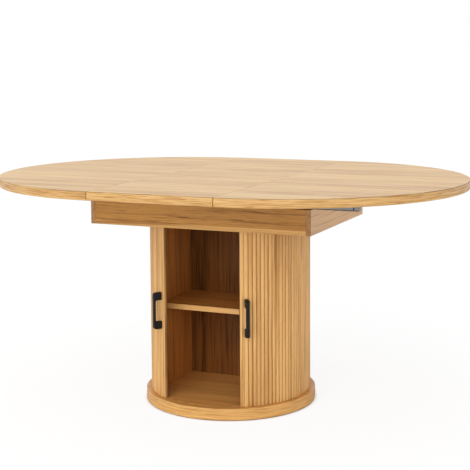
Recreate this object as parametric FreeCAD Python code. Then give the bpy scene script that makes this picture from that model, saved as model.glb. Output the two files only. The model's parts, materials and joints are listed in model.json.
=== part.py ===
import FreeCAD
import Part
import math
import os

from FreeCAD import Vector

# Extending dining table with a round fluted pedestal and two curved tambour doors.
# X is the way the table extends, the front looks along -Y, Z is up and the floor is at zero.
# The table is drawn extended, with its leaf in place and both doors half open.
# All sizes are in millimetres and all angles in degrees, measured from the front.

# Table top and leaf
TABLE_HEIGHT = 770.0
TOP_DIAMETER = 1200.0
TOP_THICKNESS = 28.0
TOP_EDGE_BEVEL = 2.0
LEAF_WIDTH = 420.0
SEAM_GAP = 0.4
LEAF_SEAT_GAP = 0.3
TONGUE_WIDTH = 24.0
TONGUE_THICKNESS = 6.0
TONGUE_REACH = 20.0
TONGUE_DEPTH = 16.0
TONGUE_CLEARANCE = 0.5
TONGUE_END_GAP = 2.0
TONGUE_TIP = 4.0
TONGUE_PLACE_SHARES = (-0.78, -0.3, 0.3, 0.78)

# Box under the top
BOX_WIDTH = 778.0
BOX_HEIGHT = 82.0
BOX_BOARD = 16.0
TRACK_COVER = 4.0
BATTEN_THICKNESS = 20.0

# Slides between the box and the top
SLIDE_HEIGHT = 42.0
SLIDE_DEPTH = 16.0
SLIDE_SHEET = 1.8
SLIDE_RUNNING_GAP = 2.5
SLIDE_LIP_GAP = 0.4
SLIDE_TRAVEL = 50.0
CHANNEL_LENGTH = 330.0
CHANNEL_INSET = 2.0
CHANNEL_TRIM = 4.0
CHANNEL_SLOT_WIDTH = 2.5
CHANNEL_SLOT_PLACE = 14.0
RAIL_WEB_GAP = 3.2
ROLLER_DIAMETER = 5.0
ROLLER_LENGTH = 6.0
ROLLER_GAP = 0.05
ROLLER_SPARE = 0.2
CAGE_SHEET = 1.0
CAGE_LIP_GAP = 1.2
CAGE_END_GAP = 3.0
STOP_LENGTH = 6.0
STOP_GAP = 0.6
TAB_GAP = 0.5
ROLLER_PLACE_SHARES = (0.2, 0.8)

# Doors: fluted slats on a bent backing that runs in round tracks
DOOR_RADIUS = 274.0
SLAT_PITCH_ANGLE = 2.95
SLAT_COUNT = 40
SLAT_THICKNESS = 10.5
SLAT_SIDE = 5.9
SLAT_GAP = 0.6
BACKING_THICKNESS = 3.5
DOOR_REST_ANGLE = 30.0
DOOR_END_GAP = 0.8
TRACK_DEPTH = 8.0
TRACK_CLEARANCE = 0.5
STILE_PITCHES = 2
CREST_FACES = 5

# Door handles
HANDLE_HEIGHT = 333.5
HANDLE_LENGTH = 123.0
HANDLE_WIDTH = 12.0
HANDLE_REACH = 27.0
HANDLE_BAR = 7.0
HANDLE_FOOT = 26.0
HANDLE_CORNER = 9.0
HANDLE_INNER_CORNER = 5.0

# Cabinet inside the doors
PLINTH_THICKNESS = 38.0
PLINTH_OVERHANG = 17.0
PLINTH_EDGE = 1.5
GLIDE_HEIGHT = 2.0
GLIDE_DIAMETER = 30.0
GLIDE_INSET = 46.0
GLIDE_COUNT = 4
DOOR_INNER_GAP = 2.5
PANEL_THICKNESS = 16.0
PANEL_FRONT_REACH = 144.0
BACK_PANEL_REACH = 100.0
BACK_PANEL_THICKNESS = 12.0
SHELL_THICKNESS = 8.0
SHELL_LAP_ANGLE = 6.0
FLUTE_DEPTH = 3.5
FLUTE_FACES = 3
SHELF_HEIGHT = 339.0
SHELF_THICKNESS = 18.0
SHELF_SETBACK = 4.0
SHELF_GAP = 0.4
SHELF_PIN_DIAMETER = 5.0
SHELF_PIN_REACH = 8.0
SHELF_PIN_DEPTH = 10.0
SHELF_PIN_EDGE = 38.0

# Countersunk screws
SCREW_HEAD = 7.0
SCREW_SHANK = 3.5
SCREW_GRIP = 14.0
SCREW_ACCESS = 1.0
PANEL_SCREW_EDGE = 40.0
RAIL_SCREW_SHARES = (-0.42, 0.0, 0.42)
CHANNEL_SCREW_SHARES = (0.1, 0.86)

# Sides of the small round things that the table repeats
SCREW_SIDES = 6
ROLLER_SIDES = 10
GLIDE_SIDES = 16

# How far a cutting tool runs past the faces it cuts
OVERRUN = 1.0

# Levels, from the floor up
PLINTH_TOP = GLIDE_HEIGHT + PLINTH_THICKNESS
TOP_UNDERSIDE = TABLE_HEIGHT - TOP_THICKNESS
BOX_TOP = TOP_UNDERSIDE - SLIDE_HEIGHT
BOX_BOTTOM = BOX_TOP - BOX_HEIGHT
BOX_FLOOR = BOX_BOTTOM + BOX_BOARD
SHELF_UNDERSIDE = SHELF_HEIGHT - SHELF_THICKNESS
TRACK_FLOOR = PLINTH_TOP - TRACK_DEPTH
TRACK_ROOF = BOX_BOTTOM + TRACK_DEPTH

# Radii about the pedestal's axis, from the outside in
PLINTH_RADIUS = DOOR_RADIUS + PLINTH_OVERHANG
BACKING_OUTER = DOOR_RADIUS - SLAT_THICKNESS
BACKING_INNER = BACKING_OUTER - BACKING_THICKNESS
SHELL_OUTER = BACKING_INNER - DOOR_INNER_GAP
SHELL_INNER = SHELL_OUTER - SHELL_THICKNESS

# Plan sizes of the box, the cabinet and the top
BOX_HALF_WIDTH = BOX_WIDTH / 2
BOX_HALF_DEPTH = BACKING_OUTER + TRACK_CLEARANCE + TRACK_COVER
RAIL_HALF_LENGTH = BOX_HALF_WIDTH - BOX_BOARD
BATTEN_FACE = BOX_HALF_DEPTH - BOX_BOARD
PANEL_OUTER = math.sqrt(SHELL_OUTER**2 - PANEL_FRONT_REACH**2)
PANEL_INNER = PANEL_OUTER - PANEL_THICKNESS
TOP_RADIUS = TOP_DIAMETER / 2
SEAM = LEAF_WIDTH / 2
LEAF_EDGE = SEAM - SEAM_GAP

# Angles of the doors and of the fixed shell behind them
DOOR_ARC = (SLAT_COUNT + STILE_PITCHES) * SLAT_PITCH_ANGLE
SHELL_START = DOOR_ARC - SHELL_LAP_ANGLE
SHELL_ARC = 2 * (180.0 - SHELL_START)
FLUTE_COUNT = round(SHELL_ARC / SLAT_PITCH_ANGLE)

# Section of a slide: distance in from its front face, and height about its middle
CHANNEL_HALF = (SLIDE_HEIGHT - SLIDE_RUNNING_GAP) / 2
SLIDE_MIDDLE = TOP_UNDERSIDE - CHANNEL_HALF
SLIDE_FACE = BATTEN_FACE + SLIDE_DEPTH
CHANNEL_BACK = SLIDE_DEPTH - SLIDE_LIP_GAP
CHANNEL_LIP = SLIDE_SHEET + ROLLER_DIAMETER / 2
RAIL_HALF = CHANNEL_HALF - SLIDE_SHEET - ROLLER_DIAMETER - 2 * ROLLER_GAP
RAIL_TIP = SLIDE_SHEET + RAIL_WEB_GAP
ROLLER_LEVEL = RAIL_HALF + ROLLER_GAP + ROLLER_DIAMETER / 2
CAGE_FRONT = SLIDE_SHEET + (RAIL_WEB_GAP - CAGE_SHEET) / 2
CAGE_BACK = CHANNEL_BACK - SLIDE_SHEET - CAGE_LIP_GAP
ROLLER_FRONT = (CAGE_FRONT + CAGE_SHEET + CAGE_BACK - ROLLER_LENGTH) / 2

# Places along a slide, from the middle of the table outwards
CHANNEL_START = SEAM + CHANNEL_INSET
CHANNEL_END = CHANNEL_START + CHANNEL_LENGTH
CAGE_START = CHANNEL_START + SLIDE_TRAVEL / 2 + CAGE_END_GAP
CAGE_END = RAIL_HALF_LENGTH - STOP_LENGTH - SLIDE_TRAVEL / 2 - CAGE_END_GAP

ORIGIN = Vector(0, 0, 0)
UP = Vector(0, 0, 1)


def polar(radius, angle, height):
    """A point at an angle from the front, turned towards +X."""
    turn = math.radians(angle)
    return Vector(radius * math.sin(turn), -radius * math.cos(turn), height)


def block(x0, x1, y0, y1, z0, z1):
    """A box between its lowest and highest corners."""
    return Part.makeBox(x1 - x0, y1 - y0, z1 - z0, Vector(x0, y0, z0))


def disc(radius, z0, z1):
    """An upright cylinder on the pedestal's axis."""
    return Part.makeCylinder(radius, z1 - z0, Vector(0, 0, z0))


def ring(inner, outer, z0, z1):
    """An upright ring on the pedestal's axis."""
    return disc(outer, z0, z1).cut(disc(inner, z0 - OVERRUN, z1 + OVERRUN))


def line(start, end):
    """A straight edge."""
    return Part.makeLine(start, end)


def arc(start, middle, end):
    """A circular edge through three points."""
    return Part.Arc(start, middle, end).toShape()


def extruded(edges, direction):
    """A solid from a closed chain of edges, pushed along a direction."""
    return Part.Face(Part.Wire(edges)).extrude(direction)


def prism(points, direction):
    """A solid from a closed polygon, pushed along a direction."""
    return Part.Face(Part.makePolygon(points + points[:1])).extrude(direction)


def mirrored_x(shape):
    """The same shape on the other side of the table's middle."""
    return shape.mirror(ORIGIN, Vector(1, 0, 0))


def mirrored_y(shape):
    """The same shape at the back."""
    return shape.mirror(ORIGIN, Vector(0, 1, 0))


def front_and_back(shapes):
    """The given front shapes with their copies at the back."""
    return Part.makeCompound(shapes + [mirrored_y(shape) for shape in shapes])


def cut_all(shape, tools):
    """The shape less every tool."""
    for tool in tools:
        shape = shape.cut(tool)
    return shape


def save(name, shape):
    """Write one piece to its own file."""
    shape.exportStep(f"parts/{name}.step")


def save_pair(name, right_shape):
    """Write a piece of the right side and its mirror image on the left."""
    save(f"{name}_right", right_shape)
    save(f"{name}_left", mirrored_x(right_shape))


def bar_corners(radius, centre, direction, sides):
    """Evenly spaced points round a circle that lies across a direction."""
    across = direction.cross(UP) if abs(direction.z) < math.sqrt(0.5) else direction.cross(Vector(1, 0, 0))
    across.normalize()
    beside = direction.cross(across)
    turns = [2 * math.pi * step / sides for step in range(sides)]
    return [centre + (across * math.cos(turn) + beside * math.sin(turn)) * radius for turn in turns]


def small_bar(radius, start, direction, length, sides):
    """A small round bar with flat sides."""
    return prism(bar_corners(radius, start, direction, sides), direction * length)


def screw(face, direction, length):
    """A countersunk screw whose head lies flush in a face."""
    head, shank = SCREW_HEAD / 2, SCREW_SHANK / 2
    neck = face + direction * (head - shank)
    tip = face + direction * length
    loops = [bar_corners(head, face, direction, SCREW_SIDES)]
    loops += [bar_corners(shank, spot, direction, SCREW_SIDES) for spot in (neck, tip)]
    faces = [Part.Face(Part.makePolygon(loop + loop[:1])) for loop in (loops[0], loops[-1])]
    for near, far in zip(loops, loops[1:]):
        for index in range(SCREW_SIDES):
            corners = [near[index], near[index - 1], far[index - 1], far[index], near[index]]
            faces.append(Part.Face(Part.makePolygon(corners)))
    return Part.makeSolid(Part.makeShell(faces))


def slide_point(along, depth, height):
    """A point of the front right slide from its place along, depth in and height."""
    return Vector(along, depth - SLIDE_FACE, SLIDE_MIDDLE + height)


def slide_block(along, depth, height):
    """A block of the front right slide between pairs of places."""
    low = slide_point(along[0], depth[0], height[0])
    high = slide_point(along[1], depth[1], height[1])
    return block(low.x, high.x, low.y, high.y, low.z, high.z)


def top_edge(out):
    """Corners of the bevelled rim of the top, from the underside up.

    out turns a distance from the rim's centre and a height into a point.
    """
    low, high, bevel = TOP_UNDERSIDE, TABLE_HEIGHT, TOP_EDGE_BEVEL
    inner = TOP_RADIUS - bevel
    return [out(inner, low), out(TOP_RADIUS, low + bevel), out(TOP_RADIUS, high - bevel), out(inner, high)]


def tongue_places():
    """Where the alignment tongues lie along a seam."""
    return [share * TOP_RADIUS for share in TONGUE_PLACE_SHARES]


def leaf_tongues():
    """Flat tongues that stand out of the right half's straight edge, with tapered tips."""
    low = TOP_UNDERSIDE + (TOP_THICKNESS - TONGUE_THICKNESS) / 2
    root, shoulder = SEAM + TONGUE_DEPTH, SEAM - TONGUE_REACH + TONGUE_TIP
    tip, half = SEAM - TONGUE_REACH, TONGUE_WIDTH / 2
    tongues = []
    for y in tongue_places():
        side = [(root, half), (shoulder, half), (tip, half - TONGUE_TIP)]
        plan = side + [(x, -offset) for x, offset in reversed(side)]
        corners = [Vector(x, y + offset, low) for x, offset in plan]
        tongues.append(prism(corners, UP * TONGUE_THICKNESS))
    return tongues


def tongue_slots():
    """Slots in the leaf's right edge, open below so that the leaf lifts off the tongues."""
    high = TOP_UNDERSIDE + (TOP_THICKNESS + TONGUE_THICKNESS) / 2 + TONGUE_CLEARANCE
    start = SEAM - TONGUE_REACH - TONGUE_END_GAP
    half = TONGUE_WIDTH / 2 + TONGUE_CLEARANCE
    return [block(start, SEAM, y - half, y + half, TOP_UNDERSIDE - OVERRUN, high) for y in tongue_places()]


def channel_screw_places():
    """Where the screws lie along the right channels."""
    return [CHANNEL_START + share * CHANNEL_LENGTH for share in CHANNEL_SCREW_SHARES]


def channel_screws():
    """Screws up through the front right channel into the top."""
    depth, level = CHANNEL_BACK / 2, CHANNEL_HALF - SLIDE_SHEET
    return [screw(slide_point(place, depth, level), UP, SCREW_GRIP) for place in channel_screw_places()]


def top_half():
    """The right half of the round top."""

    def out(distance, height):
        return Vector(SEAM, -distance, height)

    corners = top_edge(out) + [out(0, TABLE_HEIGHT), out(0, TOP_UNDERSIDE)]
    section = Part.Face(Part.makePolygon(corners + corners[:1]))
    half = section.revolve(Vector(SEAM, 0, 0), UP, 180)
    screws = channel_screws()
    return cut_all(half, leaf_tongues() + screws + [mirrored_y(one) for one in screws])


def extension_leaf():
    """The loose leaf between the halves, bevelled at its two ends."""

    def front(distance, height):
        return Vector(-LEAF_EDGE, -distance, height)

    def back(distance, height):
        return Vector(-LEAF_EDGE, distance, height)

    corners = top_edge(front) + top_edge(back)[::-1]
    leaf = prism(corners, Vector(2 * LEAF_EDGE, 0, 0))
    slots = tongue_slots()
    return cut_all(leaf, slots + [mirrored_x(slot) for slot in slots])


def channel_section(along):
    """Corners of the moving channel's section, a web with two lipped flanges."""
    half, lip = CHANNEL_HALF, CHANNEL_HALF - CHANNEL_LIP
    inside, back = half - SLIDE_SHEET, CHANNEL_BACK
    lip_face = back - SLIDE_SHEET
    upper = [(0, half), (back, half), (back, lip), (lip_face, lip)]
    upper += [(lip_face, inside), (SLIDE_SHEET, inside)]
    lower = [(depth, -height) for depth, height in reversed(upper)]
    return [slide_point(along, depth, height) for depth, height in upper + lower]


def slide_channel():
    """The front right moving channel, screwed under the top, with its stop tab."""
    channel = prism(channel_section(CHANNEL_START), Vector(CHANNEL_LENGTH, 0, 0))
    tab_places = (CHANNEL_START, CHANNEL_START + SLIDE_SHEET)
    tab = slide_block(tab_places, (SLIDE_SHEET, RAIL_TIP - TAB_GAP), (-RAIL_HALF, RAIL_HALF))
    channel = channel.fuse(tab)
    slot_start = CHANNEL_END - CHANNEL_SLOT_PLACE - CHANNEL_SLOT_WIDTH
    slot_places = (slot_start, slot_start + CHANNEL_SLOT_WIDTH)
    slot = slide_block(slot_places, (-OVERRUN, SLIDE_SHEET + OVERRUN), (-RAIL_HALF, RAIL_HALF))
    radius, length = (SCREW_HEAD + SCREW_ACCESS) / 2, SLIDE_SHEET + 2 * OVERRUN
    spots = [slide_point(x, CHANNEL_BACK / 2, -CHANNEL_HALF - OVERRUN) for x in channel_screw_places()]
    access = [small_bar(radius, spot, UP, length, SCREW_SIDES) for spot in spots]
    return cut_all(channel, channel_screws() + access + [slot])


def channel_trim():
    """The plastic edge on the outer end of the front right channel."""
    return prism(channel_section(CHANNEL_END), Vector(CHANNEL_TRIM, 0, 0))


def rail_screws():
    """Screws through the front rail into its batten."""
    depth = SLIDE_DEPTH - SLIDE_SHEET
    places = [share * 2 * RAIL_HALF_LENGTH for share in RAIL_SCREW_SHARES]
    return [screw(slide_point(x, depth, 0), Vector(0, 1, 0), SCREW_GRIP) for x in places]


def slide_rail():
    """The fixed front rail, a shallow channel that faces forwards."""
    inside, web = RAIL_HALF - SLIDE_SHEET, SLIDE_DEPTH - SLIDE_SHEET
    upper = [(SLIDE_DEPTH, RAIL_HALF), (RAIL_TIP, RAIL_HALF), (RAIL_TIP, inside), (web, inside)]
    lower = [(depth, -height) for depth, height in reversed(upper)]
    corners = [slide_point(-RAIL_HALF_LENGTH, depth, height) for depth, height in upper + lower]
    rail = prism(corners, Vector(2 * RAIL_HALF_LENGTH, 0, 0))
    return cut_all(rail, rail_screws())


def rail_stop():
    """The rubber block that ends the roller cage's travel at the right end of the front rail."""
    inside = RAIL_HALF - SLIDE_SHEET
    places = (RAIL_HALF_LENGTH - STOP_LENGTH, RAIL_HALF_LENGTH)
    depths = (SLIDE_SHEET + STOP_GAP, SLIDE_DEPTH - SLIDE_SHEET)
    return slide_block(places, depths, (-inside, inside))


def roller_places():
    """Where the rollers lie along the front right cage."""
    length = CAGE_END - CAGE_START
    return [CAGE_START + share * length for share in ROLLER_PLACE_SHARES]


def slide_rollers():
    """Upper and lower rows of rollers between the rail and the channel."""
    rollers, radius = [], ROLLER_DIAMETER / 2
    for level in (-ROLLER_LEVEL, ROLLER_LEVEL):
        for place in roller_places():
            end = slide_point(place, ROLLER_FRONT, level)
            rollers.append(small_bar(radius, end, Vector(0, 1, 0), ROLLER_LENGTH, ROLLER_SIDES))
    return rollers


def roller_cage():
    """The bent strip that keeps the rollers apart, with a window for each."""
    places, half = (CAGE_START, CAGE_END), CAGE_SHEET / 2
    top = ROLLER_LEVEL + half
    cage = slide_block(places, (CAGE_FRONT, CAGE_FRONT + CAGE_SHEET), (-top, top))
    for level in (-ROLLER_LEVEL, ROLLER_LEVEL):
        cage = cage.fuse(slide_block(places, (CAGE_FRONT, CAGE_BACK), (level - half, level + half)))
    reach = ROLLER_DIAMETER / 2 + ROLLER_SPARE
    depths = (ROLLER_FRONT - ROLLER_SPARE, ROLLER_FRONT + ROLLER_LENGTH + ROLLER_SPARE)
    heights = (-top - OVERRUN, top + OVERRUN)
    windows = [slide_block((x - reach, x + reach), depths, heights) for x in roller_places()]
    return cut_all(cage, windows)


def slide_batten():
    """The front batten that carries a rail and steadies the leaf."""
    inner = BATTEN_FACE - BATTEN_THICKNESS
    top = TOP_UNDERSIDE - LEAF_SEAT_GAP
    batten = block(-RAIL_HALF_LENGTH, RAIL_HALF_LENGTH, -BATTEN_FACE, -inner, BOX_FLOOR, top)
    return cut_all(batten, rail_screws())


def panel_screw_places():
    """Where screws hold the right side panel, as points in plan."""
    middle = PANEL_INNER + PANEL_THICKNESS / 2
    front = -PANEL_FRONT_REACH + PANEL_SCREW_EDGE
    return [(middle, front), (middle, BACK_PANEL_REACH - PANEL_SCREW_EDGE)]


def plinth_screws():
    """Screws up through the plinth into the right side panel."""
    length = PLINTH_THICKNESS + SCREW_GRIP
    return [screw(Vector(x, y, GLIDE_HEIGHT), UP, length) for x, y in panel_screw_places()]


def box_screws():
    """Screws down through the box's bottom board into the right side panel."""
    length = BOX_BOARD + SCREW_GRIP
    return [screw(Vector(x, y, BOX_FLOOR), -UP, length) for x, y in panel_screw_places()]


def both_sides(shapes):
    """The given right shapes with their copies on the left, as a list."""
    return shapes + [mirrored_x(shape) for shape in shapes]


def track(z0, z1):
    """The round groove that the doors' backing runs in."""
    return ring(BACKING_INNER - TRACK_CLEARANCE, BACKING_OUTER + TRACK_CLEARANCE, z0, z1)


def plinth():
    """The round base disc, which is also the cabinet's floor."""
    low, high, radius, edge = GLIDE_HEIGHT, PLINTH_TOP, PLINTH_RADIUS, PLINTH_EDGE
    section = [(0, low), (radius, low), (radius, high - edge), (radius - edge, high), (0, high)]
    face = Part.Face(Part.makePolygon([Vector(x, 0, z) for x, z in section + section[:1]]))
    base = face.revolve(ORIGIN, UP, 360)
    return cut_all(base, [track(TRACK_FLOOR, PLINTH_TOP + OVERRUN)] + both_sides(plinth_screws()))


def floor_glides():
    """Flat feet in a ring under the plinth."""
    angles, radius = [360.0 * step / GLIDE_COUNT for step in range(GLIDE_COUNT)], GLIDE_DIAMETER / 2
    spots = [polar(PLINTH_RADIUS - GLIDE_INSET, angle, 0) for angle in angles]
    return Part.makeCompound([small_bar(radius, spot, UP, GLIDE_HEIGHT, GLIDE_SIDES) for spot in spots])


def box_bottom_board():
    """The board over the cabinet, with the doors' upper track in its underside."""
    reach = BOX_HALF_WIDTH - BOX_BOARD
    board = block(-reach, reach, -BOX_HALF_DEPTH, BOX_HALF_DEPTH, BOX_BOTTOM, BOX_FLOOR)
    return cut_all(board, [track(BOX_BOTTOM - OVERRUN, TRACK_ROOF)] + both_sides(box_screws()))


def box_side():
    """The right end board, full height, which covers the ends of the others."""
    inner = BOX_HALF_WIDTH - BOX_BOARD
    return block(inner, BOX_HALF_WIDTH, -BOX_HALF_DEPTH, BOX_HALF_DEPTH, BOX_BOTTOM, BOX_TOP)


def box_front_board():
    """The long board at the front of the box."""
    reach = BOX_HALF_WIDTH - BOX_BOARD
    return block(-reach, reach, -BOX_HALF_DEPTH, -BATTEN_FACE, BOX_FLOOR, BOX_TOP)


def shelf_pins():
    """Pins that carry the right end of the shelf."""
    level = SHELF_UNDERSIDE - SHELF_PIN_DIAMETER / 2
    start = PANEL_INNER - SHELF_PIN_REACH
    length = SHELF_PIN_REACH + SHELF_PIN_DEPTH
    places = (-PANEL_FRONT_REACH + SHELF_PIN_EDGE, BACK_PANEL_REACH - SHELF_PIN_EDGE)
    spots, radius = [Vector(start, y, level) for y in places], SHELF_PIN_DIAMETER / 2
    return [small_bar(radius, spot, Vector(1, 0, 0), length, ROLLER_SIDES) for spot in spots]


def side_panel():
    """The right upright, from its front edge back to the inside of the shell."""
    panel = block(PANEL_INNER, PANEL_OUTER, -PANEL_FRONT_REACH, SHELL_INNER, PLINTH_TOP, BOX_BOTTOM)
    seat = SHELL_INNER * math.cos(math.radians(SLAT_PITCH_ANGLE / 2))
    beyond = ring(seat, DOOR_RADIUS + SHELL_OUTER, PLINTH_TOP - OVERRUN, BOX_BOTTOM + OVERRUN)
    behind = block(0, DOOR_RADIUS, 0, DOOR_RADIUS, PLINTH_TOP - OVERRUN, BOX_BOTTOM + OVERRUN)
    return cut_all(panel, [beyond.common(behind)] + shelf_pins() + plinth_screws() + box_screws())


def inner_back_panel():
    """The flat back of the compartments."""
    back = BACK_PANEL_REACH + BACK_PANEL_THICKNESS
    return block(-PANEL_INNER, PANEL_INNER, BACK_PANEL_REACH, back, PLINTH_TOP, BOX_BOTTOM)


def shelf():
    """The loose shelf on its four pins."""
    reach = PANEL_INNER - SHELF_GAP
    front = -PANEL_FRONT_REACH + SHELF_SETBACK
    return block(-reach, reach, front, BACK_PANEL_REACH - SHELF_GAP, SHELF_UNDERSIDE, SHELF_HEIGHT)


def flute_points(valley, crest, start, pitch, faces, level):
    """Corners of one flute, evenly spaced round half an ellipse from valley to valley."""
    points = []
    for step in range(faces + 1):
        turn = math.pi * step / faces
        angle = start + pitch * (1 - math.cos(turn)) / 2
        points.append(polar(valley + (crest - valley) * math.sin(turn), angle, level))
    return points


def fluted_wall(inside, radii, start, pitch, count, faces, height):
    """A bent wall with flutes outside.

    inside is the chain of corners behind, and radii are those of the valleys and of the crests.
    """
    valley, crest = radii
    level = inside[0].z
    outside = [polar(valley, start, level)]
    for index in range(count):
        outside += flute_points(valley, crest, start + index * pitch, pitch, faces, level)[1:]
    return prism(outside + inside[::-1], UP * height)


def rear_shell():
    """The fixed fluted back of the pedestal, inside the path of the doors."""
    radii = (SHELL_OUTER - FLUTE_DEPTH, SHELL_OUTER)
    pitch, height = SHELL_ARC / FLUTE_COUNT, BOX_BOTTOM - PLINTH_TOP
    inside = [polar(SHELL_INNER, SHELL_START + step * pitch, PLINTH_TOP) for step in range(FLUTE_COUNT + 1)]
    return fluted_wall(inside, radii, SHELL_START, pitch, FLUTE_COUNT, FLUTE_FACES, height)


def door_strip(start, flutes):
    """A strip of the right door's face with one or more flutes, set in from its neighbours.

    Behind each flute it lies on a flat of the backing, and its two ends stop short on their flats.
    """
    gap = math.degrees(SLAT_GAP / 2 / BACKING_OUTER)
    half = math.radians(SLAT_PITCH_ANGLE / 2)
    seat = BACKING_OUTER * math.cos(half) / math.cos(half - math.radians(gap))
    bottom, end = PLINTH_TOP + DOOR_END_GAP, start + flutes * SLAT_PITCH_ANGLE
    bends = [polar(BACKING_OUTER, start + step * SLAT_PITCH_ANGLE, bottom) for step in range(1, flutes)]
    inside = [polar(seat, start + gap, bottom)] + bends + [polar(seat, end - gap, bottom)]
    radii = (BACKING_OUTER + SLAT_SIDE, DOOR_RADIUS)
    pitch, height = SLAT_PITCH_ANGLE - 2 * gap / flutes, BOX_BOTTOM - DOOR_END_GAP - bottom
    return fluted_wall(inside, radii, start + gap, pitch, flutes, CREST_FACES, height)


def door_backing():
    """The sheet that carries the right door's slats and runs in the tracks.

    It bends between the slats, so each slat lies on a flat of it.
    """
    z0, z1 = TRACK_FLOOR + TRACK_CLEARANCE, TRACK_ROOF - TRACK_CLEARANCE
    angles = [DOOR_REST_ANGLE + step * SLAT_PITCH_ANGLE for step in range(SLAT_COUNT + STILE_PITCHES + 1)]
    outside = [polar(BACKING_OUTER, angle, z0) for angle in angles]
    inside = [polar(BACKING_INNER, angle, z0) for angle in reversed(angles)]
    return cut_all(prism(outside + inside, UP * (z1 - z0)), handle_screws())


def door_stile():
    """The leading strip of the right door, two flutes wide, that carries the handle."""
    return cut_all(door_strip(DOOR_REST_ANGLE, STILE_PITCHES), handle_screws())


def door_slats():
    """The separate slats behind the stile."""
    start = DOOR_REST_ANGLE + STILE_PITCHES * SLAT_PITCH_ANGLE
    first = door_strip(start, 1)
    slats = []
    for index in range(SLAT_COUNT):
        slat = first.copy()
        slat.rotate(ORIGIN, UP, index * SLAT_PITCH_ANGLE)
        slats.append(slat)
    return Part.makeCompound(slats)


def handle_angle():
    """The handle stands on the crest of the stile's second flute."""
    return DOOR_REST_ANGLE + (STILE_PITCHES - 0.5) * SLAT_PITCH_ANGLE


def handle_screws():
    """Screws from inside the right door into the handle's feet."""
    direction = polar(1, handle_angle(), 0)
    offset = (HANDLE_LENGTH - HANDLE_FOOT) / 2
    length = DOOR_RADIUS - BACKING_INNER + HANDLE_REACH / 2
    levels = (HANDLE_HEIGHT - offset, HANDLE_HEIGHT + offset)
    return [screw(polar(BACKING_INNER, handle_angle(), z), direction, length) for z in levels]


def rounded_rectangle(near, far, low, high, radius):
    """Edges of a rectangle, drawn out and up, whose two far corners are rounded."""
    bend = radius * (1 - math.sqrt(0.5))

    def point(out, height):
        return Vector(0, -out, height)

    return [
        line(point(near, low), point(far - radius, low)),
        arc(point(far - radius, low), point(far - bend, low + bend), point(far, low + radius)),
        line(point(far, low + radius), point(far, high - radius)),
        arc(point(far, high - radius), point(far - bend, high - bend), point(far - radius, high)),
        line(point(far - radius, high), point(near, high)),
        line(point(near, high), point(near, low)),
    ]


def door_handle():
    """A flat bow handle that sits over a flute of the right door's stile."""
    foot = BACKING_OUTER + SLAT_SIDE
    grip = DOOR_RADIUS + HANDLE_REACH
    low, high = HANDLE_HEIGHT - HANDLE_LENGTH / 2, HANDLE_HEIGHT + HANDLE_LENGTH / 2
    across = Vector(HANDLE_WIDTH, 0, 0)
    bow = extruded(rounded_rectangle(foot, grip, low, high, HANDLE_CORNER), across)
    inside = rounded_rectangle(
        foot - OVERRUN, grip - HANDLE_BAR, low + HANDLE_FOOT, high - HANDLE_FOOT, HANDLE_INNER_CORNER
    )
    bow = bow.cut(extruded(inside, across))
    bow.translate(Vector(-HANDLE_WIDTH / 2, 0, 0))
    bow.rotate(ORIGIN, UP, handle_angle())
    return cut_all(bow, [door_strip(DOOR_REST_ANGLE, STILE_PITCHES)] + handle_screws())


def build():
    """Make every piece of the table and write it."""
    os.makedirs("parts", exist_ok=True)
    # The top and its leaf
    save_pair("top_half", top_half())
    save("extension_leaf", extension_leaf())
    save_pair("leaf_tongues", Part.makeCompound(leaf_tongues()))
    # The slides
    save("slide_rail_front", slide_rail())
    save("slide_rail_back", mirrored_y(slide_rail()))
    save("slide_batten_front", slide_batten())
    save("slide_batten_back", mirrored_y(slide_batten()))
    save_pair("slide_channel_front", slide_channel())
    save_pair("slide_channel_back", mirrored_y(slide_channel()))
    save_pair("channel_trims", front_and_back([channel_trim()]))
    save_pair("channel_screws", front_and_back(channel_screws()))
    save_pair("roller_cages", front_and_back([roller_cage()]))
    save_pair("slide_rollers", front_and_back(slide_rollers()))
    save("rail_stops", front_and_back(both_sides([rail_stop()])))
    save("rail_screws", front_and_back(rail_screws()))
    # The box
    save("box_bottom_board", box_bottom_board())
    save("box_front_board", box_front_board())
    save("box_back_board", mirrored_y(box_front_board()))
    save_pair("box_side", box_side())
    save("box_screws", Part.makeCompound(both_sides(box_screws())))
    # The cabinet inside the doors
    save("plinth", plinth())
    save("floor_glides", floor_glides())
    save("plinth_screws", Part.makeCompound(both_sides(plinth_screws())))
    save_pair("side_panel", side_panel())
    save("inner_back_panel", inner_back_panel())
    save("rear_shell", rear_shell())
    save("shelf", shelf())
    save("shelf_pins", Part.makeCompound(both_sides(shelf_pins())))
    # The doors
    save_pair("door_backing", door_backing())
    save_pair("door_stile", door_stile())
    save_pair("door_slats", door_slats())
    save_pair("door_handle", door_handle())
    save_pair("handle_screws", Part.makeCompound(handle_screws()))


build()
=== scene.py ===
"""Looks of the extending dining table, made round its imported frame.

X is the way the table extends, the front looks along -Y and the floor is at zero. All sizes are in
metres and all angles in degrees, measured from the front and turned towards +X. Only the
camera's turns are in radians.
"""
import json
import math

import bpy
import numpy as np
from mathutils import Matrix, Vector


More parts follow.
